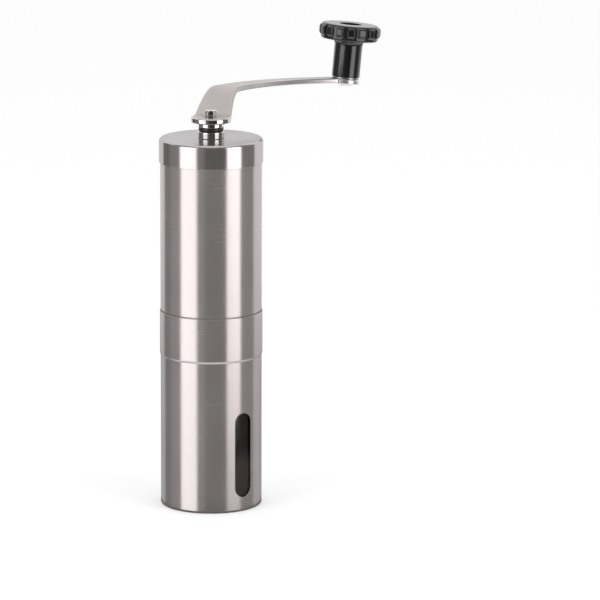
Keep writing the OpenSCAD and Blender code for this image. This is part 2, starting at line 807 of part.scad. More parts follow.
module crank_hub() color([0.85, 0.85, 0.85]) {
    difference() {
        union() {
            translate([0, 0, crank_z]) turned(hub_ring_d / 2, hub_ring_h - seat_play, edge_break);
            translate([0, 0, crank_z + hub_ring_h / 2]) cylinder(r = hub_shank_r, h = hub_ring_h / 2 + arm_t);
        }
        translate([0, 0, crank_z - over])
            hex_hole(hex_af + 2 * hex_play, hub_ring_h + arm_t + 2 * over);
    }
}

module knob_washer() color([0.75, 0.75, 0.75]) {
    at_knob()
        translate([0, 0, arm_t / 2 + knob_run])
            ring(stem_r - edge_break, pin_r + seat_play, knob_washer_t);
}

// Rivet: tail dome under the arm, plain journal through the knob, head in the well
module knob_pin() color([0.8, 0.8, 0.8]) {
    tail_r = pin_tail_d / 2;
    head_r = pin_head_d / 2;
    head_z0 = knob_lift + well_floor + knob_run;
    at_knob()
        rotate_extrude()
            polygon([
                [0, -arm_t / 2 - seat_play - pin_tail_t],
                [tail_r * 0.5, -arm_t / 2 - seat_play - pin_tail_t * 0.9],
                [tail_r * 0.85, -arm_t / 2 - seat_play - pin_tail_t * 0.5],
                [tail_r, -arm_t / 2 - seat_play], [pin_r, -arm_t / 2 - seat_play],
                [pin_r, head_z0], [head_r, head_z0], [head_r * 0.92, head_z0 + pin_head_t * 0.5],
                [head_r * 0.6, head_z0 + pin_head_t * 0.9], [0, head_z0 + pin_head_t]
            ]);
}

// Knob: a plain stem and core, with rounded ribs round the head
module knob_core() {
    rotate_extrude()
        polygon(concat(
            [[0, 0], [stem_r - edge_break, 0], [stem_r, edge_break]],
            arc([stem_r + stem_fillet, head_z - stem_fillet], stem_fillet, 180, 90, 5),
            [[core_r - head_edge, head_z], [core_r, head_z + head_edge]],
            arc([core_r - head_edge, knob_h - head_edge], head_edge, 0, 90, 5),
            [[0, knob_h]]
        ));
}

module rib_outline() {
    half = rib_w / 2;
    root = core_r - rib_rise;
    corner_at = knob_r - rib_corner;
    for (k = [0:rib_count - 1])
        rotate(360 * k / rib_count) {
            translate([root, -half]) square([corner_at - root, rib_w]);
            translate([root, rib_corner - half]) square([knob_r - root, rib_w - 2 * rib_corner]);
            for (side = [-1, 1])
                translate([corner_at, side * (half - rib_corner)]) circle(r = rib_corner, $fn = 24);
        }
}

module knob_ribs() {
    low = head_z + rib_end_gap;
    high = knob_h - rib_end_gap;
    intersection() {
        translate([0, 0, low]) linear_extrude(height = high - low) rib_outline();
        rotate_extrude()
            polygon([
                [0, low], [knob_r - 2 * rib_rise, low], [knob_r, low + 2 * rib_rise],
                [knob_r, high - rib_rise], [knob_r - rib_rise, high], [0, high]
            ]);
    }
}

module knob() color([0.05, 0.05, 0.05]) {
    at_knob()
        translate([0, 0, knob_lift])
            difference() {
                union() {
                    knob_core();
                    knob_ribs();
                }
                translate([0, 0, -over]) cylinder(r = pin_r + run_play, h = knob_h);
                translate([0, 0, well_floor]) cylinder(r = well_d / 2, h = well_depth + over);
            }
}

canister_shell();
window_liner();
hopper_tube();
burr_housing();
ring_burr();
ring_burr_clip();
shaft_bracket();
bracket_bearing();
lid_cap();
lid_bush();
lid_rivet_ring();
hub_washer();
crank_arm();
crank_hub();
knob_pin();
knob_washer();
knob();
drive_shaft();
shaft_circlip();
thrust_washer();
burr_spring();
cone_burr();
burr_carrier();
click_plate();
adjusting_nut();
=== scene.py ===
"""The looks of a slim steel hand coffee grinder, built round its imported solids."""

import math

import bmesh
import bpy
from mathutils import Matrix, Quaternion, Vector


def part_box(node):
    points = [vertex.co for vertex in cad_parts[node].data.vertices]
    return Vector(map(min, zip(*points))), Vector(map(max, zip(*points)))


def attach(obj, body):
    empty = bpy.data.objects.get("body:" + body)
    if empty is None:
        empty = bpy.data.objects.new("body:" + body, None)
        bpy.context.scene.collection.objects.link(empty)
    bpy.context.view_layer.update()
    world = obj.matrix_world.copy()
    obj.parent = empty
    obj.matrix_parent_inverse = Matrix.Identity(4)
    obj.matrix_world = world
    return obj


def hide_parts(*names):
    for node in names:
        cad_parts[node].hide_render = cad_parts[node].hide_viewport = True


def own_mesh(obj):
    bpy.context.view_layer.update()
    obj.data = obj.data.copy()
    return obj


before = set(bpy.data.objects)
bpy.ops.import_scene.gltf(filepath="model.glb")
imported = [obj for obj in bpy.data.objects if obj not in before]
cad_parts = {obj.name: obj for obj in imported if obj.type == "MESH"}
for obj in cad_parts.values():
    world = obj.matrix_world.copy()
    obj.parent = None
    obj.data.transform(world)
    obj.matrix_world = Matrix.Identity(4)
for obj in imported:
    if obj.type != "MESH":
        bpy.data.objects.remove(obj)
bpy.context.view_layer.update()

MM = 0.001
NEAR = 0.001 * MM        # lengths that differ by less are the same
FIT = 0.05 * MM          # play between parts that sit on each other

# Camera, fitted to the photograph
VIEW_AZIMUTH = math.radians(-55.4)
VIEW_DISTANCE = 2.2
VIEW_HEIGHT = 0.5611
VIEW_DOWN = 0.2064
VIEW_YAW = -0.0195
VIEW_ROLL = 0.0034
VIEW_LENS = 279.2
VIEW_SENSOR = 36
VIEW_FAR = 20

# Fineness of the meshes
FILLET_STEPS = 6
EDGE_SUPPORT = 0.12 * MM         # from a fillet to the extra points beside it
WELD = 1e-7
TUBE_COLUMNS = 192
RING_COLUMNS = 128
HEXAGON_COLUMNS = 192
KNOB_COLUMNS = 256
DRILL_COLUMNS = 96
CARD_COLUMNS = 48

# Tubes
TUBE_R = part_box("hopper_tube")[1].y
TUBE_WALL = 0.6 * MM
TUBE_LIP_R = TUBE_WALL * 0.45
NECK_STEP = 0.35 * MM
NECK_BEND_R = NECK_STEP * 0.5
SEAM_GAP = 0.3 * MM
SOCKET_PLAY = 0.1 * MM
JOGGLE_H = 1 * MM
JOGGLE_TOP = 75 * MM
JOGGLE_BEND_R = JOGGLE_H * 0.5
BASE_T = 0.8 * MM
BASE_EDGE_R = 1.2 * MM

# Window slot
SLOT_TURN = math.radians(-106)
SLOT_HALF_W = 4.8 * MM
SLOT_SILL = 7.2 * MM
SLOT_H = 41.5 * MM
SLOT_MARGIN = 3.5 * MM
SLOT_COLUMNS = 16
SLOT_ROWS = 26
SLOT_EDGE_R = 0.16 * MM
SLOT_EDGE_STEPS = 4
PAINTED_SHADE_STRIPS = range(6, 12)        # strips of faces on the cut's wall, painted in shade, counted from the outside in
CLOUDY_TOP = 27 * MM
CLOUDY_FADE = 3 * MM

# Lid and the rings on it
BODY_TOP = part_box("lid_cap")[1].z
LID_WALL = 0.5 * MM
LID_LIP_R = LID_WALL * 0.4
LID_EDGE_R = 1.5 * MM
LID_EDGE_STEPS = 10
LID_HOLE_R = 4.55 * MM
BUSH_SHANK_R = 4.5 * MM
BUSH_FOOT_R = 0.3 * MM
BUSH_EDGE_R = 0.45 * MM
WASHER_EDGE_R = 0.55 * MM
SHAFT_BORE_R = 3.05 * MM

# Crank's hub ring and the drive shaft
HUB_SHANK_R = 4.2 * MM
HUB_EDGE_R = 0.35 * MM
HEX_SOCKET_W = 5.12 * MM
HEX_SOCKET_R = 3 * MM            # stands for the hexagon in the ring's profile
HEX_SHAFT_W = 5 * MM
HEX_CORNER_R = 2.84 * MM
HEX_LOW, HEX_MID, HEX_UP = 73.55 * MM, 93.35 * MM, 183 * MM
THREAD_R = 2.4 * MM
THREAD_END_R = 0.4 * MM
GROOVE_R = 2.5 * MM
DOME_R = 1.1 * MM

# Crank arm, worked out along its middle line from the axis at zero
ARM_REACH = 118 * MM
ARM_BOW = 14.8 * MM
ARM_T = 2.6 * MM
ARM_HUB_R = 9.8 * MM
ARM_BOSS_R = 7.1 * MM
ARM_TIP_W = 7.8 * MM
ARM_TAPER = 2.7
ARM_FILLET = 6
ARM_BEND_START = 5.8 * MM
ARM_BEND_LEN = 25 * MM
ARM_RISE = 9.9 * MM
ARM_DROOP = 6 * MM
LOW_CURVE = 0.12
TOP_CURVE = 0.46
ARM_EDGE_R = 0.7 * MM
ARM_EDGE_STEPS = 6
ARM_EDGE_SUPPORT = 0.15 * MM
END_STEPS, FLAT_STEPS, BEND_STEPS, SLOPE_STEPS = 28, 8, 90, 100
HUB_HOLE_R = 4.25 * MM
PIN_HOLE_R = 2.55 * MM
# span along the arm over which the edge's painted reflection and its smoothing come in
PAINTED_REFLECTION_SPAN = (45 * MM, 90 * MM)
ARM_ARC_R = (ARM_REACH ** 2 / 4 + ARM_BOW ** 2) / (2 * ARM_BOW)
ARM_HALF = math.asin(ARM_REACH / 2 / ARM_ARC_R)
ARM_LEN = 2 * ARM_HALF * ARM_ARC_R
ARM_BOSS_START = ARM_LEN - ARM_BOSS_R
ARM_CREST = ARM_BEND_START + ARM_BEND_LEN
ARM_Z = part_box("crank_arm")[0].z

# Knob, in its own frame with its base at zero
KNOB_PIVOT = Vector((118, 0, 192.079)) * MM
KNOB_LEAN = math.radians(5.8)
KNOB_AT = (
    Matrix.Translation(KNOB_PIVOT) @ Matrix.Rotation(-ARM_HALF, 4, "Z") @ Matrix.Rotation(KNOB_LEAN, 4, "Y")
)
KNOB_LIFT = 2.1 * MM             # from the arm's middle plane, over the washer
KNOB_R = 15.3 * MM
KNOB_H = 26.4 * MM
KNOB_HEAD_H = 7.8 * MM
KNOB_STEM_R = 7 * MM
KNOB_FOOT_R = 0.3 * MM
KNOB_FILLET = 2.8 * MM
KNOB_EDGE_R = 1.1 * MM
KNOB_BORE_R = 2.55 * MM
WELL_R = 5.5 * MM
WELL_DEPTH = 12 * MM
WELL_RIM_R = 0.35 * MM
WELL_CORNER_R = 0.3 * MM
RIB_COUNT = 16
RIB_W = 3.9 * MM
RIB_RISE = 1 * MM
RIB_END_GAP = 0.7 * MM
RIB_CORNER = 0.6 * MM
RIB_CORNER_STEPS = 5
RIB_PHASE = math.radians(-3.8)

# Burr spring
SPRING_WIRE = 0.9 * MM
SPRING_TURNS = 4.0
SPRING_STEPS = 48
WIRE_COLUMNS = 14

# Studio
WHITE = (1, 1, 1, 1)
AMBIENT = 0.75
SOFTBOX_DISTANCE = 1.0
SOFTBOXES = [  # name, azimuth, width, bottom and top, radiance
    ("softbox_left", -52.05, 0.72, -0.36, 0.95, 1.9),
    ("softbox_right", 51.9, 0.61, -0.19, 0.95, 2.2)
]
CARD_LOW, CARD_MID, CARD_HIGH = (1.4, -0.9), (1.4, -0.2), (1.4, 0.9)
CARDS = [  # azimuth from and to, (distance, height) of the two edges, radiance
    (-180, -130, CARD_LOW, CARD_MID, 0.55),
    (-130, -104, CARD_LOW, CARD_HIGH, 0.12),
    (-104, -53.5, CARD_LOW, CARD_HIGH, 0.22),
    (-53.5, -14, CARD_LOW, CARD_HIGH, 0.17),
    (-14, 51.8, CARD_LOW, CARD_HIGH, 0.045),
    (51.8, 111, CARD_LOW, CARD_HIGH, 0.17),
    (111, 170, CARD_LOW, CARD_MID, 0.45),
    (-110, 110, (0.45, 1), (1.45, 1), 0.1),
    # Painted shade: a dim ring round the foot, seen only in reflections, stands for the contact shadow that
    # darkens the base's edge
    (-180, 180, (TUBE_R - 0.9 * MM, 0.02 * MM), (TUBE_R + 4 * MM, 0.02 * MM), 0.05)
]
GROUND_SIZE = 6
GROUND_COLOR = (0.86, 0.86, 0.86)
GROUND_GLOW = 0.3


# Mesh helpers
def placed(name, data):
    """A new object in the scene."""
    obj = bpy.data.objects.new(name, data)
    bpy.context.scene.collection.objects.link(obj)
    return obj


def plain_mesh(bm, name):
    """A bmesh made into a mesh as it is."""
    mesh = bpy.data.meshes.new(name)
    bm.to_mesh(mesh)
    bm.free()
    return mesh


def smooth_mesh(bm, name, sharp=35):
    """A bmesh made into a mesh: welded, facing outwards, smooth but for edges sharper than that angle."""
    bmesh.ops.remove_doubles(bm, verts=bm.verts, dist=WELD)
    bmesh.ops.recalc_face_normals(bm, faces=bm.faces)
    mesh = plain_mesh(bm, name)
    mesh.shade_smooth()
    mesh.set_sharp_from_angle(angle=math.radians(sharp))
    return mesh


def rounded(corners, steps=FILLET_STEPS):
    """Profile points from corners (r, z, fillet), each fillet an arc with a support point beside it."""
    points = []
    for k, (r, z, fillet) in enumerate(corners):
        here = Vector((r, z))
        if fillet == 0:
            points.append(here)
            continue
        before = Vector(corners[k - 1][:2]) - here
        after = Vector(corners[(k + 1) % len(corners)][:2]) - here
        a, b = before.normalized(), after.normalized()
        half = a.angle(b) / 2
        reach = fillet / math.tan(half)
        centre = here + (a + b).normalized() * fillet / math.sin(half)
        u, v = here + a * reach - centre, here + b * reach - centre
        sweep = u.angle(v)
        if before.length > reach + 2 * EDGE_SUPPORT:
            points.append(here + a * (reach + EDGE_SUPPORT))
        for i in range(steps + 1):
            t = i / steps
            arc = u * math.sin((1 - t) * sweep) + v * math.sin(t * sweep)
            points.append(centre + arc / math.sin(sweep))
        if after.length > reach + 2 * EDGE_SUPPORT:
            points.append(here + b * (reach + EDGE_SUPPORT))
    return points


def sweep_round(bm, profile, columns, closed=False, shape=None, skip=None):
    """Sweeps (r, z) points round Z. shape(angle, r) alters a radius, skip(column, row) drops a face."""
    rings = []
    for r, z in profile:
        if r < NEAR:
            rings.append([bm.verts.new((0, 0, z))])
            continue
        ring = []
        for c in range(columns):
            angle = 2 * math.pi * c / columns
            reach = shape(angle, r) if shape else r
            ring.append(bm.verts.new((reach * math.cos(angle), reach * math.sin(angle), z)))
        rings.append(ring)
    for row in range(len(rings) - (0 if closed else 1)):
        low, high = rings[row], rings[(row + 1) % len(rings)]
        for c in range(columns):
            if skip and skip(c, row):
                continue
            d = (c + 1) % columns
            corners = [low[c % len(low)], low[d % len(low)], high[d % len(high)], high[c % len(high)]]
            unique = list(dict.fromkeys(corners))
            if len(unique) > 2:
                bm.faces.new(unique)


def lathe(name, profile, columns=RING_COLUMNS, closed=True, shape=None):
    """The mesh that (r, z) points make when they are turned round Z."""
    bm = bmesh.new()
    sweep_round(bm, profile, columns, closed, shape)
    return smooth_mesh(bm, name)


def piece(name, mesh, materials, body, slot, *nodes):
    """Puts a mesh in the scene as a piece on that body, in place of those CAD nodes."""
    obj = placed(name, mesh)
    for material in materials:
        mesh.materials.append(material)
    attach(obj, body)
    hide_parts(*nodes)
    return obj


# Material helpers
def finish(name, color, roughness, **sockets):
    """A material, its tree and its shader, whose sockets are set to what is the same all over."""
    made = bpy.data.materials.new(name)
    made.use_nodes = True
    shader = made.node_tree.nodes["Principled BSDF"]
    values = {"Base Color": (*color, 1), "Roughness": roughness, **sockets}
    for socket, value in values.items():
        shader.inputs[socket].default_value = value
    return made, made.node_tree, shader


def feed(tree, value, socket):
    """Sets a socket to a number, or links a node's output to it."""
    if isinstance(value, (int, float)):
        socket.default_value = value
    else:
        tree.links.new(value, socket)


def maths(tree, operation, a, b):
    """The output of a Math node on two numbers or outputs."""
    made = tree.nodes.new("ShaderNodeMath")
    made.operation = operation
    feed(tree, a, made.inputs[0])
    feed(tree, b, made.inputs[1])
    return made.outputs[0]


def place_on(tree):
    """The place on the piece's own coordinates."""
    return tree.nodes.new("ShaderNodeTexCoord").outputs["Object"]


def axes_of_place(tree):
    """That place taken apart into X, Y and Z."""
    split = tree.nodes.new("ShaderNodeSeparateXYZ")
    tree.links.new(place_on(tree), split.inputs["Vector"])
    return split.outputs


def noise(tree, vector, detail):
    """A noise pattern with one grain to the unit."""
    made = tree.nodes.new("ShaderNodeTexNoise")
    made.inputs["Scale"].default_value = 1
    made.inputs["Detail"].default_value = detail
    tree.links.new(vector, made.inputs["Vector"])
    return made.outputs["Fac"]


def grain(tree, per_metre, stretch=(1, 1, 1), detail=3):
    """Grains on the piece's own coordinates, that many to the metre."""
    mapping = tree.nodes.new("ShaderNodeMapping")
    mapping.inputs["Scale"].default_value = [per_metre * s for s in stretch]
    tree.links.new(place_on(tree), mapping.inputs["Vector"])
    return noise(tree, mapping.outputs["Vector"], detail)


def turned_grain(tree, per_metre):
    """Fine lines that run round Z, as brushing on a lathe leaves them, on walls and faces alike."""
    flat = tree.nodes.new("ShaderNodeVectorMath")
    flat.operation = "MULTIPLY"
    flat.inputs[1].default_value = (1, 1, 0)
    tree.links.new(place_on(tree), flat.inputs[0])
    radius = tree.nodes.new("ShaderNodeVectorMath")
    radius.operation = "LENGTH"
    tree.links.new(flat.outputs["Vector"], radius.inputs[0])
    x, y, z = axes_of_place(tree)
    skew, lengthwise = 0.6, 60
    around = maths(tree, "ADD", x, maths(tree, "MULTIPLY", y, skew))
    join = tree.nodes.new("ShaderNodeCombineXYZ")
    for axis, value, scale in (
        ("X", radius.outputs["Value"], per_metre), ("Y", z, per_metre), ("Z", around, lengthwise)
    ):
        tree.links.new(maths(tree, "MULTIPLY", value, scale), join.inputs[axis])
    return noise(tree, join.outputs["Vector"], detail=4)


def spread(tree, value, low, high, start=0.3, end=0.7):
    """Turns a pattern's range from start to end into numbers from low to high."""
    made = tree.nodes.new("ShaderNodeMapRange")
    for socket, number in (("From Min", start), ("From Max", end), ("To Min", low), ("To Max", high)):
        made.inputs[socket].default_value = number
    tree.links.new(value, made.inputs["Value"])
    return made.outputs["Result"]


def tint(tree, shader, value, dark, light):
    """Colours the surface between two colours by a pattern from 0 to 1."""
    mix = tree.nodes.new("ShaderNodeMix")
    mix.data_type = "RGBA"
    first, second = [s for s in mix.inputs if s.type == "RGBA"]
    first.default_value = (*dark, 1)
    second.default_value = (*light, 1)
    tree.links.new(value, mix.inputs["Factor"])
    colour = next(s for s in mix.outputs if s.type == "RGBA")
    tree.links.new(colour, shader.inputs["Base Color"])


def relief(tree, shader, height, depth):
    """Raises and sinks the surface by a pattern, that many metres deep."""
    bump = tree.nodes.new("ShaderNodeBump")
    bump.inputs["Strength"].default_value = 1
    bump.inputs["Distance"].default_value = depth
    tree.links.new(height, bump.inputs["Height"])
    tree.links.new(bump.outputs["Normal"], shader.inputs["Normal"])


# Finishes
def brushed_steel(name, roughness, anisotropic, metal):
    """Stainless steel brushed round its axis: streaks blur up and down, and stay crisp sideways."""
    made, tree, shader = finish(name, (0.58, 0.52, 0.52), roughness, **{
        "Metallic": metal, "Anisotropic": anisotropic, "Anisotropic Rotation": 0.25,
        "Specular Tint": (0.74, 0.76, 0.77, 1)
    })
    lines = turned_grain(tree, per_metre=5000)
    smudge = grain(tree, per_metre=35, detail=4)
    tint(tree, shader, spread(tree, smudge, 0, 1), (0.565, 0.508, 0.507), (0.595, 0.54, 0.538))
    streaks = maths(tree, "ADD", spread(tree, lines, -0.02, 0.02), spread(tree, smudge, -0.02, 0.03))
    tree.links.new(maths(tree, "ADD", streaks, roughness), shader.inputs["Roughness"])
    relief(tree, shader, lines, depth=1.6e-6)
    return made


def blasted_nickel():
    """Bead-blasted strip steel, with fine even pits that sparkle."""
    made, tree, shader = finish("blasted_nickel", (0.54, 0.5, 0.49), 0.42, Metallic=1)
    pits = grain(tree, per_metre=3200)
    cloud = grain(tree, per_metre=60)
    tint(tree, shader, spread(tree, cloud, 0, 1), (0.52, 0.475, 0.465), (0.56, 0.52, 0.51))
    tree.links.new(spread(tree, pits, 0.34, 0.48), shader.inputs["Roughness"])
    relief(tree, shader, pits, depth=16e-6)
    return made


def edge_painted_reflection():
    """The strip's rolled side: blasted near the axis, and smoother towards the knob, where a painted
    reflection lightens its colour.
    """
    made, tree, shader = finish("edge_painted_reflection", (0.6, 0.56, 0.55), 0.42, Metallic=1)
    outward = axes_of_place(tree)["X"]
    # Painted reflection: the colour lightens from blasted grey to near white towards the knob
    tint(tree, shader, spread(tree, outward, 0, 1, *PAINTED_REFLECTION_SPAN), (0.58, 0.545, 0.535), (0.93, 0.88, 0.87))
    pits = grain(tree, per_metre=3200)
    smooth = spread(tree, outward, 0.42, 0.34, *PAINTED_REFLECTION_SPAN)
    tree.links.new(maths(tree, "ADD", smooth, spread(tree, pits, -0.03, 0.03)), shader.inputs["Roughness"])
    relief(tree, shader, pits, depth=6e-6)
    return made


def polished(name, color, roughness, depth):
    """Polished or plated steel with the faint rings of its turning."""
    made, tree, shader = finish(name, color, roughness, Metallic=1)
    rings = turned_grain(tree, per_metre=2600)
    smudge = grain(tree, per_metre=160)
    smeared, duller = roughness * 1.3, [c * 0.96 for c in color]
    tree.links.new(spread(tree, smudge, roughness, smeared), shader.inputs["Roughness"])
    tint(tree, shader, spread(tree, smudge, 0, 1), duller, color)
    relief(tree, shader, rings, depth)
    return made


def moulded(name, dark, light, rough, per_metre, depth, gloss=0.5):
    """Moulded plastic with the fine texture of its mould, its roughness between two numbers."""
    made, tree, shader = finish(name, light, sum(rough) / 2, **{"Specular IOR Level": gloss})
    texture = grain(tree, per_metre)
    cloud = grain(tree, per_metre=90, detail=2)
    tint(tree, shader, spread(tree, cloud, 0, 1), dark, light)
    tree.links.new(spread(tree, texture, *rough), shader.inputs["Roughness"])
    relief(tree, shader, texture, depth)
    return made


def smoky_clear():
    """Smoky clear plastic of the grounds cup, scratched by use and a little less clear below a line."""
    made, tree, shader = finish("smoky_clear", (0.34, 0.29, 0.26), 0.12, **{
        "Transmission Weight": 1, "IOR": 1.49, "Specular IOR Level": 0.3
    })
    scratches = grain(tree, per_metre=500, stretch=(1, 1, 0.12), detail=4)
    tree.links.new(spread(tree, scratches, 0.06, 0.18), shader.inputs["Roughness"])
    tint(tree, shader, spread(tree, scratches, 0, 1), (0.31, 0.26, 0.235), (0.36, 0.31, 0.28))
    # A little less clear below the line
    upward = axes_of_place(tree)["Z"]
    clear = spread(tree, upward, 0.94, 1, CLOUDY_TOP - CLOUDY_FADE, CLOUDY_TOP + CLOUDY_FADE)
    tree.links.new(clear, shader.inputs["Transmission Weight"])
    return made


def ceramic():
    """Unglazed fired ceramic, slightly speckled."""
    made, tree, shader = finish("burr_ceramic", (0.85, 0.83, 0.78), 0.5)
    speckle = grain(tree, per_metre=1400, detail=4)
    cloud = grain(tree, per_metre=120, detail=2)
    tint(tree, shader, spread(tree, speckle, 0, 1, 0.25, 0.6), (0.74, 0.72, 0.67), (0.86, 0.84, 0.8))
    tree.links.new(spread(tree, cloud, 0.45, 0.6), shader.inputs["Roughness"])
    relief(tree, shader, speckle, depth=8e-6)
    return made


TUBE_STEEL = brushed_steel("tube_steel", roughness=0.235, anisotropic=0.62, metal=0.8)
LID_STEEL = brushed_steel("lid_steel", roughness=0.18, anisotropic=0.55, metal=0.9)
ARM_NICKEL = blasted_nickel()
EDGE_PAINTED_REFLECTION = edge_painted_reflection()
PLATE_POLISH = polished("polished_plate", (0.66, 0.63, 0.62), roughness=0.07, depth=6e-7)
CHROME = polished("chrome", (0.78, 0.755, 0.745), roughness=0.045, depth=4e-7)
SHAFT_STEEL = polished("ground_shaft", (0.88, 0.86, 0.85), roughness=0.06, depth=4e-7)
RIVET_STEEL = polished("rivet_steel", (0.7, 0.69, 0.68), roughness=0.09, depth=8e-7)
PLAIN_STEEL = polished("plain_steel", (0.56, 0.55, 0.54), roughness=0.28, depth=3e-6)
KNOB_GLOSS = moulded(
    "knob_gloss", (0.006, 0.006, 0.008), (0.009, 0.009, 0.011),
    rough=(0.12, 0.2), per_metre=1500, depth=2e-6, gloss=0.85
)
KNOB_SATIN = moulded(
    "knob_satin", (0.05, 0.05, 0.054), (0.062, 0.062, 0.067),
    rough=(0.18, 0.26), per_metre=2500, depth=3e-6, gloss=1
)
# Painted shade: near black for the slot's cut wall, which lies in shadow
PAINTED_SHADE_CUT = moulded(
    "painted_shade_cut", (0.01, 0.01, 0.01), (0.016, 0.015, 0.015),
    rough=(0.4, 0.55), per_metre=2500, depth=6e-6
)
WASHER_BLACK = moulded(
    "washer_black", (0.012, 0.012, 0.012), (0.02, 0.02, 0.02),
    rough=(0.3, 0.45), per_metre=1800, depth=5e-6
)
BLACK_NYLON = moulded(
    "black_nylon", (0.028, 0.028, 0.03), (0.04, 0.04, 0.042),
    rough=(0.45, 0.6), per_metre=2200, depth=12e-6
)
WHITE_NYLON = moulded(
    "white_nylon", (0.74, 0.73, 0.69), (0.8, 0.79, 0.75),
    rough=(0.4, 0.55), per_metre=2000, depth=8e-6
)
SMOKY_CLEAR = smoky_clear()
CERAMIC = ceramic()


# Canister and hopper
def slot_outline():
    """Point by point the slot's outline (across, z), the way out and the patch's border, and the rows."""
    half_angle = SLOT_COLUMNS / 2 * 2 * math.pi / TUBE_COLUMNS
    low, high = SLOT_SILL - SLOT_MARGIN, SLOT_SILL + SLOT_H + SLOT_MARGIN
    columns = [half_angle * (2 * i / SLOT_COLUMNS - 1) for i in range(SLOT_COLUMNS + 1)]
    rows = [low + (high - low) * i / SLOT_ROWS for i in range(SLOT_ROWS + 1)]
    border = [(c, low) for c in columns[:-1]] + [(half_angle, z) for z in rows[:-1]]
    border += [(c, high) for c in columns[:0:-1]] + [(-half_angle, z) for z in rows[:0:-1]]
    round_slot = []
    for angle, z in border:
        centre = Vector((0, min(max(z, SLOT_SILL + SLOT_HALF_W), SLOT_SILL + SLOT_H - SLOT_HALF_W)))
        out = (Vector((TUBE_R * angle, z)) - centre).normalized()
        round_slot.append((centre + out * SLOT_HALF_W, out, Vector((angle, z))))
    return round_slot, rows


def slot_loops(round_slot):
    """Loops of points from the patch's border in to the slot's edge, through it and out again inside."""
    # Depth below the surface, share of the way to the border, way out from the edge
    depths = [(0, 1, 0), (0, 0.6, SLOT_EDGE_R), (0, 0.3, SLOT_EDGE_R), (0, 0.1, SLOT_EDGE_R)]
    quarter = [math.pi / 2 * i / SLOT_EDGE_STEPS for i in range(SLOT_EDGE_STEPS + 1)]
    depths += [(SLOT_EDGE_R * (1 - math.cos(a)), 0, SLOT_EDGE_R * (1 - math.sin(a))) for a in quarter]
    depths += [(TUBE_WALL - depth, share, way) for depth, share, way in reversed(depths)]
    loops = []
    for depth, share, way in depths:
        r = TUBE_R - depth
        loop = []
        for edge, out, border in round_slot:
            near = edge + out * way
            angle = math.asin(near.x / r)
            angle += share * (border.x - angle)
            z = near.y + share * (border.y - near.y)
            loop.append((r * math.cos(SLOT_TURN + angle), r * math.sin(SLOT_TURN + angle), z))
        loops.append(loop)
    return loops


def canister_profile(rows):
    """Drawn steel: rounded bottom edge, rows of points beside the slot, joggle out to the socket."""
    bore = TUBE_R - TUBE_WALL
    socket_bore = TUBE_R - NECK_STEP + SOCKET_PLAY
    socket_r = socket_bore + TUBE_WALL
    joggle_low = JOGGLE_TOP - JOGGLE_H
    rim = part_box("canister_shell")[1].z
    return rounded(
        [(0, 0, 0), (TUBE_R, 0, BASE_EDGE_R)] + [(TUBE_R, z, 0) for z in rows]
        + [(TUBE_R, joggle_low, JOGGLE_BEND_R), (socket_r, JOGGLE_TOP, JOGGLE_BEND_R)]
        + [(socket_r, rim, TUBE_LIP_R), (socket_bore, rim, TUBE_LIP_R)]
        + [(socket_bore, JOGGLE_TOP, JOGGLE_BEND_R), (bore, joggle_low, JOGGLE_BEND_R)]
        + [(bore, z, 0) for z in reversed(rows)]
        + [(bore, BASE_T, BASE_EDGE_R - TUBE_WALL), (0, BASE_T, 0)]
    )


def canister_mesh():
    """The turned canister with a patch left out for the slot, and the slot's own loops sewn in."""
    round_slot, rows = slot_outline()
    profile = canister_profile(rows)
    # Where the profile passes the patch's ends, up the outside and down the inside
    starts = [k for k, p in enumerate(profile) if min(abs(p.y - rows[0]), abs(p.y - rows[-1])) < NEAR]
    outside, inside = range(starts[0], starts[1]), range(starts[2], starts[3])
    first = SLOT_COLUMNS // 2

    def in_patch(column, row):
        """Whether a face of the tube gives way to the slot's patch."""
        return (row in outside or row in inside) and (column + first) % TUBE_COLUMNS < SLOT_COLUMNS

    bm = bmesh.new()
    sweep_round(bm, profile, TUBE_COLUMNS, skip=in_patch)
    bmesh.ops.rotate(bm, verts=bm.verts, matrix=Matrix.Rotation(SLOT_TURN, 3, "Z"))
    loops = [[bm.verts.new(p) for p in loop] for loop in slot_loops(round_slot)]
    for row, (outer, inner) in enumerate(zip(loops, loops[1:])):
        for i in range(len(outer)):
            j = (i + 1) % len(outer)
            face = bm.faces.new([outer[i], outer[j], inner[j], inner[i]])
            # The cut's wall gets the painted shade
            face.material_index = 1 if row in PAINTED_SHADE_STRIPS else 0
    return smooth_mesh(bm, "canister")


def hopper_mesh():
    """Hopper tube, necked in at the seam to its spigot."""
    low, high = [corner.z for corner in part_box("hopper_tube")]
    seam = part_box("canister_shell")[1].z + SEAM_GAP
    bore = TUBE_R - TUBE_WALL
    spigot_r = TUBE_R - NECK_STEP
    spigot_bore = spigot_r - TUBE_WALL
    return lathe("hopper", rounded([
        (spigot_bore, low, TUBE_LIP_R), (spigot_r, low, TUBE_LIP_R), (spigot_r, seam, 0),
        (TUBE_R, seam + NECK_STEP, NECK_BEND_R), (TUBE_R, high, TUBE_LIP_R), (bore, high, TUBE_LIP_R),
        (bore, seam + NECK_STEP + TUBE_WALL, NECK_BEND_R), (spigot_bore, seam + TUBE_WALL, NECK_BEND_R)
    ]), TUBE_COLUMNS)


# Lid and the rings on it
def lid_mesh():
    """Pressed lid with a skirt, a rounded edge and the bush's hole."""
    low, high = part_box("lid_cap")
    bore = high.y - LID_WALL
    under = high.z - LID_WALL
    return lathe("lid", rounded([
        (bore, low.z, LID_LIP_R), (high.y, low.z, LID_LIP_R), (high.y, high.z, LID_EDGE_R),
        (LID_HOLE_R, high.z, 0), (LID_HOLE_R, under, 0), (bore, under, LID_EDGE_R - LID_WALL)
    ], LID_EDGE_STEPS), TUBE_COLUMNS)


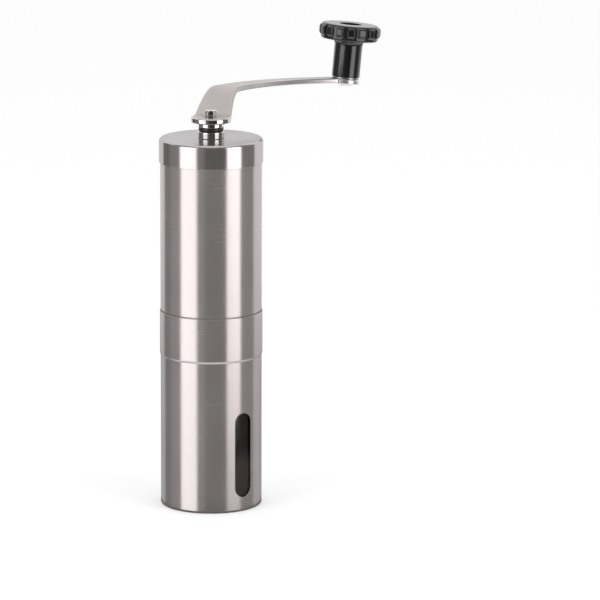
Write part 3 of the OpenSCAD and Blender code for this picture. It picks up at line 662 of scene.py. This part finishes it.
def bush_mesh():
    """Chrome bush on the lid, with its shank through the lid and the rivet ring."""
    low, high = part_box("lid_bush")
    seat = BODY_TOP + FIT
    return lathe("bush", rounded([
        (SHAFT_BORE_R, low.z, 0), (BUSH_SHANK_R, low.z, 0), (BUSH_SHANK_R, seat, 0),
        (high.y, seat, BUSH_FOOT_R), (high.y, high.z, BUSH_EDGE_R), (SHAFT_BORE_R, high.z, BUSH_FOOT_R)
    ]))


def hub_washer_mesh():
    """Black washer with rounded rims between the bush and the crank."""
    low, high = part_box("hub_washer")
    return lathe("hub_washer_ring", rounded([
        (SHAFT_BORE_R, low.z, 0), (high.y, low.z, WASHER_EDGE_R),
        (high.y, high.z, WASHER_EDGE_R), (SHAFT_BORE_R, high.z, 0)
    ]))


# Crank's hub ring and the drive shaft
def hexagon(angle, across_flats):
    """The radius of a hexagon with its corners at multiples of 60 degrees."""
    return across_flats / 2 / math.cos(angle % (math.pi / 3) - math.pi / 6)


def crank_hub_mesh():
    """Chrome ring under the arm, its shank riveted flush, with the hexagonal socket right through."""
    low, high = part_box("crank_hub")
    seat = ARM_Z - FIT

    def socketed(angle, r):
        """The hexagon in place of the socket's radius."""
        return hexagon(angle, HEX_SOCKET_W) if r < HEX_SOCKET_R + NEAR else r

    return lathe("crank_ring", rounded([
        (HEX_SOCKET_R, low.z, 0), (high.x, low.z, HUB_EDGE_R), (high.x, seat, HUB_EDGE_R),
        (HUB_SHANK_R, seat, 0), (HUB_SHANK_R, high.z, 0), (HEX_SOCKET_R, high.z, 0)
    ]), HEXAGON_COLUMNS, shape=socketed)


def shaft_mesh():
    """Drive shaft: thread end, lower hexagon, round middle with the circlip's groove, upper hexagon."""
    low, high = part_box("drive_shaft")
    clip_low, clip_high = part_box("shaft_circlip")
    groove_low, groove_high = clip_low.z - FIT, clip_high.z + FIT

    def flattened(angle, r):
        """The hexagons' flats, ground into all but the round middle."""
        return min(r, hexagon(angle, HEX_SHAFT_W)) if r < HEX_CORNER_R + NEAR else r

    return lathe("shaft", rounded([
        (0, low.z, 0), (THREAD_R, low.z, THREAD_END_R), (THREAD_R, HEX_LOW, 0), (HEX_CORNER_R, HEX_LOW, 0),
        (HEX_CORNER_R, HEX_MID, 0), (high.x, HEX_MID, 0), (high.x, groove_low, 0),
        (GROOVE_R, groove_low, 0), (GROOVE_R, groove_high, 0),
        (high.x, groove_high, 0), (high.x, HEX_UP, 0), (HEX_CORNER_R, HEX_UP, 0),
        (HEX_CORNER_R, high.z, DOME_R), (0, high.z, 0)
    ]), HEXAGON_COLUMNS, closed=False, shape=flattened)


# Crank arm
def strip_heading(s):
    """The way that the bowed middle line runs in plan, as an angle from X."""
    return ARM_HALF - min(max(s, 0), ARM_LEN) / ARM_ARC_R


def bend_share(t):
    """Share of the rise: a tight curve, a straight slope and a long curve at the top."""
    t = min(max(t, 0), 1)
    steep = 1 / (1 - (LOW_CURVE + TOP_CURVE) / 2)
    if t < LOW_CURVE:
        return steep * t * t / (2 * LOW_CURVE)
    if t > 1 - TOP_CURVE:
        return 1 - steep * (1 - t) ** 2 / (2 * TOP_CURVE)
    return steep * (t - LOW_CURVE / 2)


def arm_height(s):
    """Height of the middle line above the plate at the axis: up the bend, then slowly down to the knob."""
    fall = min(max((s - ARM_CREST) / (ARM_BOSS_START - ARM_CREST), 0), 1)
    lean = math.tan(KNOB_LEAN) * max(s - ARM_BOSS_START, 0)
    return ARM_RISE * bend_share((s - ARM_BEND_START) / ARM_BEND_LEN) - ARM_DROOP * fall - lean


def arm_half_width(s):
    """Half the strip's width, with its round ends and a small fillet into the end under the knob."""
    if s < 0:
        return math.sqrt(max(ARM_HUB_R ** 2 - s * s, 0))
    if s > ARM_LEN:
        return math.sqrt(max(ARM_BOSS_R ** 2 - (s - ARM_LEN) ** 2, 0))
    strip = (ARM_TIP_W + (2 * ARM_HUB_R - ARM_TIP_W) * (1 - s / ARM_LEN) ** ARM_TAPER) / 2
    boss = math.sqrt(max(ARM_BOSS_R ** 2 - (ARM_LEN - s) ** 2, 0))
    fade = math.sqrt(max(1 - max(s - ARM_BOSS_START, 0) / ARM_BOSS_R, 0)) if boss > strip else 1
    return ((strip * fade) ** ARM_FILLET + boss ** ARM_FILLET) ** (1 / ARM_FILLET)


def arm_point(s, across, height):
    """A point of the strip: s along its middle line, across it, and above its middle plane."""
    a = strip_heading(s)
    spare = s - min(max(s, 0), ARM_LEN)
    step = ARM_T / 8
    tip = math.atan((arm_height(s + step) - arm_height(s - step)) / (2 * step))
    x = ARM_ARC_R * (math.sin(ARM_HALF) - math.sin(a)) + spare * math.cos(a)
    y = ARM_ARC_R * (math.cos(a) - math.cos(ARM_HALF)) + spare * math.sin(a)
    centre = Vector((x, y, ARM_Z + ARM_T / 2 + arm_height(s)))
    side = Vector((-math.sin(a), math.cos(a), 0))
    up = Vector((-math.sin(tip) * math.cos(a), -math.sin(tip) * math.sin(a), math.cos(tip)))
    return centre + across * side + height * up


def evenly(start, end, steps):
    """Evenly spaced numbers from start up to, but without, end."""
    return [start + (end - start) * i / steps for i in range(steps)]


def arm_side():
    """Outline points (s, half width) from the round end at the axis to the one under the knob."""
    hub = [-ARM_HUB_R * math.cos(a) for a in evenly(0, math.pi / 2, END_STEPS)]
    strip = evenly(0, ARM_BEND_START, FLAT_STEPS) + evenly(ARM_BEND_START, ARM_CREST, BEND_STEPS)
    strip += evenly(ARM_CREST, ARM_BOSS_START, SLOPE_STEPS)
    boss = [ARM_LEN - ARM_BOSS_R * math.cos(a) for a in evenly(0, math.pi, 2 * END_STEPS)]
    return [(s, arm_half_width(s)) for s in hub + strip + boss + [ARM_LEN + ARM_BOSS_R]]


def arm_mesh():
    """Crank arm: a flat plate that follows the outline, with an edge rolled all the way round."""
    side = arm_side()
    outline = [Vector((s, w)) for s, w in side] + [Vector((s, -w)) for s, w in side[-2:0:-1]]
    count = len(outline)
    inward = []
    for k in range(count):
        way = outline[(k + 1) % count] - outline[k - 1]
        inward.append(Vector((way.y, -way.x)).normalized())
    half = ARM_T / 2
    turns = [math.pi / 2 * i / ARM_EDGE_STEPS for i in range(ARM_EDGE_STEPS + 1)]
    loops = [(ARM_EDGE_R + ARM_EDGE_SUPPORT, half)]
    loops += [(ARM_EDGE_R * (1 - math.sin(a)), half - ARM_EDGE_R * (1 - math.cos(a))) for a in turns]
    loops += [(inset, -height) for inset, height in reversed(loops)]
    bm = bmesh.new()
    rings = []
    for inset, height in loops:
        points = [p + n * inset for p, n in zip(outline, inward)]
        rings.append([bm.verts.new(arm_point(p.x, p.y, height)) for p in points])
    for upper, lower in zip(rings, rings[1:]):
        for k in range(count):
            j = (k + 1) % count
            face = bm.faces.new([upper[k], upper[j], lower[j], lower[k]])
            # Polished round the flat plate; from the bend on, the rolled edge that a painted reflection
            # lightens towards the knob
            face.material_index = 2 if outline[k].x < ARM_BEND_START else 1
    for ring in (rings[0], rings[-1]):
        for k in range(len(side) - 1):
            corners = [ring[k], ring[k + 1], ring[(count - k - 1) % count], ring[(count - k) % count]]
            bm.faces.new(list(dict.fromkeys(corners)))
    return smooth_mesh(bm, "crank")


def cut_hole(obj, radius, matrix):
    """Drills a round hole of that radius along the matrix's Z."""
    bm = bmesh.new()
    bmesh.ops.create_cone(
        bm, segments=DRILL_COLUMNS, radius1=radius, radius2=radius, depth=6 * ARM_T, cap_ends=True
    )
    bm.transform(matrix)
    drill = placed("drill", plain_mesh(bm, "drill"))
    hole = obj.modifiers.new("hole", "BOOLEAN")
    hole.operation = "DIFFERENCE"
    hole.solver = "EXACT"
    hole.object = drill
    depsgraph = bpy.context.evaluated_depsgraph_get()
    cut = bpy.data.meshes.new_from_object(obj.evaluated_get(depsgraph))
    obj.modifiers.clear()
    obj.data = cut
    bpy.data.objects.remove(drill)


def drilled_arm_mesh():
    """The arm with the holes for its hub ring and for the knob's rivet."""
    arm = placed("crank", arm_mesh())
    cut_hole(arm, HUB_HOLE_R, Matrix.Translation((0, 0, ARM_Z + ARM_T / 2)))
    cut_hole(arm, PIN_HOLE_R, KNOB_AT)
    drilled = arm.data
    bpy.data.objects.remove(arm)
    return drilled


# Geometry Nodes helpers
def tree_with(name, *numbers):
    """An empty node tree with a geometry in and out and those number inputs, and its input identifiers."""
    tree = bpy.data.node_groups.new(name, "GeometryNodeTree")
    tree.interface.new_socket("Geometry", in_out="INPUT", socket_type="NodeSocketGeometry")
    tree.interface.new_socket("Geometry", in_out="OUTPUT", socket_type="NodeSocketGeometry")
    found = {}
    for number in numbers:
        kind = "NodeSocketInt" if number == "Count" else "NodeSocketFloat"
        found[number] = tree.interface.new_socket(number, in_out="INPUT", socket_type=kind).identifier
    return tree, found


def add_node(tree, kind, links=(), **values):
    """Adds a node, sets its unlinked inputs by name and links the others."""
    made = tree.nodes.new(kind)
    for socket, value in values.items():
        made.inputs[socket.replace("_", " ")].default_value = value
    for socket, source in links:
        tree.links.new(source, made.inputs[socket])
    return made


def grown(mesh, tree, values):
    """The plain mesh that the tree makes of a mesh, with its inputs set by identifier."""
    obj = placed("grown", mesh)
    made = obj.modifiers.new("grow", "NODES")
    made.node_group = tree
    for identifier, value in values.items():
        made[identifier] = value
    depsgraph = bpy.context.evaluated_depsgraph_get()
    result = bpy.data.meshes.new_from_object(obj.evaluated_get(depsgraph))
    result.materials.clear()
    obj.modifiers.clear()
    bpy.data.objects.remove(obj)
    return result


def close_tree(tree, geometry, material):
    """Ends the tree with real geometry in its own material."""
    real = add_node(tree, "GeometryNodeRealizeInstances", [("Geometry", geometry)])
    painted = add_node(tree, "GeometryNodeSetMaterial", [("Geometry", real.outputs["Geometry"])])
    painted.inputs["Material"].default_value = material
    end = tree.nodes.new("NodeGroupOutput")
    tree.links.new(painted.outputs["Geometry"], end.inputs["Geometry"])


# Knob
def one_rib():
    """A raised pad of the knob's head: a prism with sloping ends, all its edges rounded."""
    root = KNOB_R - 2 * RIB_RISE
    low = KNOB_H - KNOB_HEAD_H + RIB_END_GAP
    high = KNOB_H - RIB_END_GAP
    side = [
        (root, low), (KNOB_R, low + 2 * RIB_RISE), (KNOB_R, high - RIB_RISE),
        (KNOB_R - RIB_RISE, high), (root, high)
    ]
    bm = bmesh.new()
    near, far = [[bm.verts.new((r, y, z)) for r, z in side] for y in (-RIB_W / 2, RIB_W / 2)]
    bm.faces.new(near)
    bm.faces.new(far)
    for k in range(len(side)):
        j = (k + 1) % len(side)
        bm.faces.new([near[k], near[j], far[j], far[k]])
    outer = [e for e in bm.edges if max(v.co.x for v in e.verts) > root + RIB_RISE / 2]
    bmesh.ops.bevel(
        bm, geom=outer, offset=RIB_CORNER, offset_type="OFFSET",
        segments=RIB_CORNER_STEPS, profile=0.5, affect="EDGES"
    )
    bmesh.ops.rotate(bm, verts=bm.verts, matrix=Matrix.Rotation(RIB_PHASE, 3, "Z"))
    return smooth_mesh(bm, "rib", sharp=30)


def rib_ring():
    """Repeats the pad all round the knob's head."""
    tree, inputs = tree_with("rib_ring", "Count")
    start = tree.nodes.new("NodeGroupInput")
    line = add_node(tree, "GeometryNodeMeshLine", [("Count", start.outputs["Count"])], Offset=(0, 0, 0))
    number = tree.nodes.new("GeometryNodeInputIndex")
    share = maths(tree, "DIVIDE", number.outputs["Index"], start.outputs["Count"])
    angle = maths(tree, "MULTIPLY", share, 2 * math.pi)
    turn = add_node(tree, "ShaderNodeCombineXYZ", [("Z", angle)])
    ribs = add_node(tree, "GeometryNodeInstanceOnPoints", [
        ("Points", line.outputs["Mesh"]), ("Instance", start.outputs["Geometry"]),
        ("Rotation", turn.outputs["Vector"])
    ])
    close_tree(tree, ribs.outputs["Instances"], KNOB_GLOSS)
    return grown(one_rib(), tree, {inputs["Count"]: RIB_COUNT})


def knob_mesh():
    """Moulded knob: stem, head with raised pads, satin face and the well for the rivet."""
    core_r = KNOB_R - RIB_RISE
    head = KNOB_H - KNOB_HEAD_H
    well = KNOB_H - WELL_DEPTH
    bm = bmesh.new()
    sweep_round(bm, rounded([
        (KNOB_BORE_R, 0, 0), (KNOB_STEM_R, 0, KNOB_FOOT_R), (KNOB_STEM_R, head, KNOB_FILLET),
        (core_r, head, KNOB_EDGE_R), (core_r, KNOB_H, KNOB_EDGE_R), (WELL_R, KNOB_H, WELL_RIM_R),
        (WELL_R, well, WELL_CORNER_R), (KNOB_BORE_R, well, 0)
    ]), KNOB_COLUMNS, closed=True)
    for face in bm.faces:
        # The satin face
        if all(v.co.z > KNOB_H - NEAR for v in face.verts):
            face.material_index = 1
    both = bmesh.new()
    both.from_mesh(smooth_mesh(bm, "knob_turned"))
    both.from_mesh(rib_ring())
    both.transform(KNOB_AT @ Matrix.Translation((0, 0, KNOB_LIFT)))
    return plain_mesh(both, "knob_moulding")


# Spring and burrs
def spring_mesh():
    """The burr spring's wire, wound along a spiral between the ends of the solid one."""
    low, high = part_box("burr_spring")
    wire = SPRING_WIRE / 2
    tree, inputs = tree_with("wound_spring", "Turns", "Radius", "Height", "Wire")
    start = tree.nodes.new("NodeGroupInput")
    path = add_node(tree, "GeometryNodeCurveSpiral", [
        ("Rotations", start.outputs["Turns"]), ("Start Radius", start.outputs["Radius"]),
        ("End Radius", start.outputs["Radius"]), ("Height", start.outputs["Height"])
    ], Resolution=SPRING_STEPS)
    section = add_node(tree, "GeometryNodeCurvePrimitiveCircle", [
        ("Radius", start.outputs["Wire"])
    ], Resolution=WIRE_COLUMNS)
    wound = add_node(tree, "GeometryNodeCurveToMesh", [
        ("Curve", path.outputs["Curve"]), ("Profile Curve", section.outputs["Curve"])
    ], Fill_Caps=True)
    close_tree(tree, wound.outputs["Mesh"], PLAIN_STEEL)
    values = {
        inputs["Turns"]: SPRING_TURNS, inputs["Radius"]: high.x - wire,
        inputs["Height"]: high.z - low.z - 2 * wire, inputs["Wire"]: wire
    }
    bm = bmesh.new()
    bm.from_mesh(grown(bpy.data.meshes.new("spring_start"), tree, values))
    bmesh.ops.translate(bm, verts=bm.verts, vec=(0, 0, low.z + wire))
    return smooth_mesh(bm, "spring", sharp=60)


def smooth_copy(node):
    """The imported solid's mesh, welded and shaded smooth between its sharp edges."""
    bm = bmesh.new()
    bm.from_mesh(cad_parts[node].data)
    return smooth_mesh(bm, node + "_smooth", sharp=32)


# Studio
def toward(azimuth):
    """The level direction at an azimuth from the camera's own, positive to the image's right."""
    a = VIEW_AZIMUTH + math.radians(azimuth)
    return Vector((math.sin(a), -math.cos(a), 0))


def at_height(z):
    """The point at that height on the object's axis."""
    return Vector((0, 0, z))


def camera():
    """The camera, where the photograph's stood."""
    data = bpy.data.cameras.new("camera")
    data.lens = VIEW_LENS
    data.sensor_width = VIEW_SENSOR
    data.clip_end = VIEW_FAR
    obj = placed("camera", data)
    obj.location = toward(0) * VIEW_DISTANCE + at_height(VIEW_HEIGHT)
    level = Matrix.Rotation(VIEW_YAW, 3, "Z") @ -toward(0)
    forward = level * math.cos(VIEW_DOWN) - at_height(math.sin(VIEW_DOWN))
    obj.rotation_mode = "QUATERNION"
    obj.rotation_quaternion = forward.to_track_quat("-Z", "Y") @ Quaternion((0, 0, 1), VIEW_ROLL)
    bpy.context.scene.camera = obj


def softbox(name, azimuth, width, low, high, radiance):
    """A tall soft light of that radiance, facing the object."""
    data = bpy.data.lights.new(name, "AREA")
    data.shape = "RECTANGLE"
    data.size = width
    data.size_y = high - low
    data.energy = radiance * math.pi * width * (high - low)
    obj = placed(name, data)
    obj.location = toward(azimuth) * SOFTBOX_DISTANCE + at_height((low + high) / 2)
    obj.rotation_mode = "QUATERNION"
    obj.rotation_quaternion = (-toward(azimuth)).to_track_quat("-Z", "Y")


def emission(tree, strength):
    """Light of that strength, a number or a node's output."""
    made = tree.nodes.new("ShaderNodeEmission")
    feed(tree, strength, made.inputs["Strength"])
    return made.outputs["Emission"]


def grey_card(name, start, end, near, far, radiance):
    """A dim card round the object between two azimuths, seen only in reflections."""
    bm = bmesh.new()
    rows = []
    for distance, height in (near, far):
        ways = [toward(start + (end - start) * c / CARD_COLUMNS) for c in range(CARD_COLUMNS + 1)]
        rows.append([bm.verts.new(way * distance + at_height(height)) for way in ways])
    for c in range(CARD_COLUMNS):
        bm.faces.new([rows[0][c], rows[0][c + 1], rows[1][c + 1], rows[1][c]])
    bmesh.ops.remove_doubles(bm, verts=bm.verts, dist=WELD)
    mesh = plain_mesh(bm, name)
    obj = placed(name, mesh)
    made = bpy.data.materials.new(name)
    made.use_nodes = True
    tree = made.node_tree
    tree.nodes.remove(tree.nodes["Principled BSDF"])
    tree.links.new(emission(tree, radiance), tree.nodes["Material Output"].inputs["Surface"])
    mesh.materials.append(made)
    obj.visible_camera = False
    obj.visible_diffuse = False
    obj.visible_shadow = False
    obj.visible_transmission = False


def white_rays(tree):
    """1 for the camera's rays and for those that were reflected or went through glass."""
    path = tree.nodes.new("ShaderNodeLightPath")
    seen = maths(tree, "MAXIMUM", path.outputs["Is Camera Ray"], path.outputs["Is Glossy Ray"])
    return maths(tree, "MAXIMUM", seen, path.outputs["Is Transmission Ray"])


def white_world():
    """A white background to look at, and a softer one that lights the rest."""
    world = bpy.data.worlds.new("studio")
    bpy.context.scene.world = world
    world.use_nodes = True
    tree = world.node_tree
    soft = tree.nodes["Background"]
    soft.inputs["Color"].default_value = WHITE
    soft.inputs["Strength"].default_value = AMBIENT
    white = tree.nodes.new("ShaderNodeBackground")
    white.inputs["Color"].default_value = WHITE
    mix = tree.nodes.new("ShaderNodeMixShader")
    tree.links.new(white_rays(tree), mix.inputs["Fac"])
    tree.links.new(soft.outputs["Background"], mix.inputs[1])
    tree.links.new(white.outputs["Background"], mix.inputs[2])
    tree.links.new(mix.outputs["Shader"], tree.nodes["World Output"].inputs["Surface"])


def pale_floor():
    """A pale floor that keeps the object's shadow, lifted to white for the camera alone."""
    bm = bmesh.new()
    bmesh.ops.create_grid(bm, x_segments=1, y_segments=1, size=GROUND_SIZE)
    mesh = plain_mesh(bm, "floor")
    obj = placed("floor", mesh)
    made, tree, shader = finish("pale_floor", GROUND_COLOR, 0.9)
    path = tree.nodes.new("ShaderNodeLightPath")
    glow = emission(tree, maths(tree, "MULTIPLY", path.outputs["Is Camera Ray"], GROUND_GLOW))
    lift = tree.nodes.new("ShaderNodeAddShader")
    tree.links.new(shader.outputs["BSDF"], lift.inputs[0])
    tree.links.new(glow, lift.inputs[1])
    tree.links.new(lift.outputs["Shader"], tree.nodes["Material Output"].inputs["Surface"])
    mesh.materials.append(made)
    obj.visible_glossy = False


# The pieces
piece("canister", canister_mesh(), [TUBE_STEEL, PAINTED_SHADE_CUT], "canister", "tube_steel", "canister_shell")
piece("hopper", hopper_mesh(), [TUBE_STEEL], "hopper", "tube_steel", "hopper_tube")
piece("lid", lid_mesh(), [LID_STEEL], "lid", "lid_steel", "lid_cap")
piece("bush", bush_mesh(), [CHROME], "lid", "chrome", "lid_bush")
piece("hub_washer_ring", hub_washer_mesh(), [WASHER_BLACK], "washer", "washer_black", "hub_washer")
piece("crank_ring", crank_hub_mesh(), [CHROME], "crank", "chrome", "crank_hub")
piece("shaft", shaft_mesh(), [SHAFT_STEEL], "shaft", "chrome", "drive_shaft")
piece("crank", drilled_arm_mesh(), [ARM_NICKEL, EDGE_PAINTED_REFLECTION, PLATE_POLISH], "crank", "arm_steel", "crank_arm")
piece("knob_moulding", knob_mesh(), [KNOB_GLOSS, KNOB_SATIN], "knob", "knob_black", "knob")
spring = piece("spring", spring_mesh(), [PLAIN_STEEL], "shaft", "plain_steel", "burr_spring")
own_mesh(spring)
piece("cone", smooth_copy("cone_burr"), [CERAMIC], "burr", "burr_ceramic", "cone_burr")
piece("ring", smooth_copy("ring_burr"), [CERAMIC], "hopper", "burr_ceramic", "ring_burr")

# CAD nodes whose shape is right, with the finish of the real ones
FINISHES = {
    "window_liner": SMOKY_CLEAR,
    "burr_housing": BLACK_NYLON,
    "ring_burr_clip": PLAIN_STEEL,
    "shaft_bracket": BLACK_NYLON,
    "bracket_bearing": WHITE_NYLON,
    "lid_rivet_ring": PLAIN_STEEL,
    "knob_pin": RIVET_STEEL,
    "knob_washer": PLAIN_STEEL,
    "shaft_circlip": PLAIN_STEEL,
    "thrust_washer": PLAIN_STEEL,
    "burr_carrier": BLACK_NYLON,
    "click_plate": PLAIN_STEEL,
    "adjusting_nut": BLACK_NYLON,
}
for node, material in FINISHES.items():
    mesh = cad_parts[node].data
    mesh.materials.clear()
    mesh.materials.append(material)

# The studio round them
camera()
for box in SOFTBOXES:
    softbox(*box)
for number, card in enumerate(CARDS):
    grey_card("card_%d" % number, *card)
white_world()
pale_floor()
bpy.context.scene.view_settings.view_transform = "Standard"
